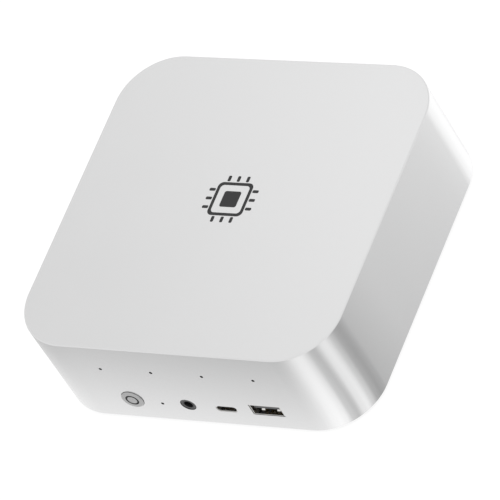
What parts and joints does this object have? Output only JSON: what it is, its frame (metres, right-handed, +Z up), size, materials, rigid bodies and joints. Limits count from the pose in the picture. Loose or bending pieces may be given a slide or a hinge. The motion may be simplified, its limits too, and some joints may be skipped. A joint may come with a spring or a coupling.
{
  "type": "mini pc",
  "caption": "Compact square desktop computer with a satin aluminium shell, front ports and power button, and a rear port panel.",
  "frame": {"origin": "under the middle of the body, on the desk", "axes": "+Z up, -Y towards the front with the power button, +X to the right seen from the front"},
  "size_m": [0.135, 0.1355, 0.0447],
  "materials": {
    "satin_aluminium": "bead-blasted and anodised, satin",
    "spun_aluminium": "spun, satin",
    "black_plastic": "fine grain",
    "insert_plastic": "smooth",
    "clear_plastic": "translucent",
    "white_plastic": "smooth",
    "black_rubber": "matte",
    "bright_steel": "nickel plated",
    "dark_steel": "black zinc",
    "spring_steel": "satin",
    "circuit_board": "solder mask",
    "chip_black": "moulded",
    "silicon": "polished",
    "can_aluminium": "drawn",
    "copper": null,
    "bearing_brass": "gilt",
    "lead_black": "sleeve"
  },
  "bodies": {
    "body": {"antenna_leads": "lead_black", "antennas": "copper", "audio_jack_rings": "spun_aluminium", "audio_jacks": "black_plastic", "base_cover": "black_plastic", "base_screws": "dark_steel", "board_capacitors": "can_aluminium", "board_chips": "chip_black", "card_screws": "dark_steel", "card_sockets": "black_plastic", "coin_cell": "bright_steel", "cold_plate": "copper", "cooler_clamps": "spring_steel", "drive_boards": "circuit_board", "drive_chips": "chip_black", "dust_filter": "dark_steel", "fan_bearing": "bearing_brass", "fan_cover": "spring_steel", "fan_frame": "black_plastic", "fan_lead": "lead_black", "fan_lead_plug": "white_plastic", "fan_stator": "spring_steel", "fin_stack": "can_aluminium", "front_usb_a_insert": "insert_plastic", "front_usb_a_shell": "bright_steel", "heat_pipes": "copper", "machine_screws": "dark_steel", "main_board": "circuit_board", "memory_chips": "chip_black", "microphone_board": "circuit_board", "microphone_gaskets": "black_rubber", "microphones": "chip_black", "network_jack_contacts": "bearing_brass", "network_jack_insert": "insert_plastic", "network_jack_lights": "clear_plastic", "network_jack_shield": "bright_steel", "power_inductors": "chip_black", "power_inlet_body": "black_plastic", "power_inlet_pin": "bright_steel", "processor_die": "silicon", "processor_substrate": "circuit_board", "rear_panel": "black_plastic", "rear_usb_a_insert": "insert_plastic", "rear_usb_a_shell": "bright_steel", "rubber_feet": "black_rubber", "speakers": "black_plastic", "switch_bodies": "black_plastic", "top_shell": "satin_aluminium", "usb_c_inserts": "insert_plastic", "usb_c_shells": "bright_steel", "video_port_inserts": "insert_plastic", "video_port_shells": "bright_steel", "wireless_card": "circuit_board"},
    "button": {"power_button_rim": "spun_aluminium", "power_button_centre": "spun_aluminium", "power_button_carrier": "clear_plastic"},
    "power_plunger": {"power_switch_plunger": "white_plastic"},
    "reset_plunger": {"reset_switch_plunger": "white_plastic"},
    "fan": {"fan_impeller": "black_plastic", "fan_shaft": "bright_steel"}
  },
  "joints": [
    {"name": "power_press", "type": "slide", "parent": "body", "child": "button", "axis": [0, 1, 0], "range_m": [0, 0.00035], "stiffness_N_per_m": 400},
    {"name": "power_plunger_slide", "type": "slide", "parent": "body", "child": "power_plunger", "axis": [0, 1, 0], "range_m": [0, 0.00035]},
    {"name": "reset_press", "type": "slide", "parent": "body", "child": "reset_plunger", "axis": [0, 1, 0], "range_m": [0, 0.00025], "stiffness_N_per_m": 400},
    {"name": "fan_spin", "type": "hinge", "parent": "body", "child": "fan", "pos_m": [0, -0.004, 0.03], "axis": [0, 0, 1], "continuous": true}
  ],
  "couplings": [
    {"joint": "power_plunger_slide", "follows": "power_press", "ratio": 1}
  ]
}
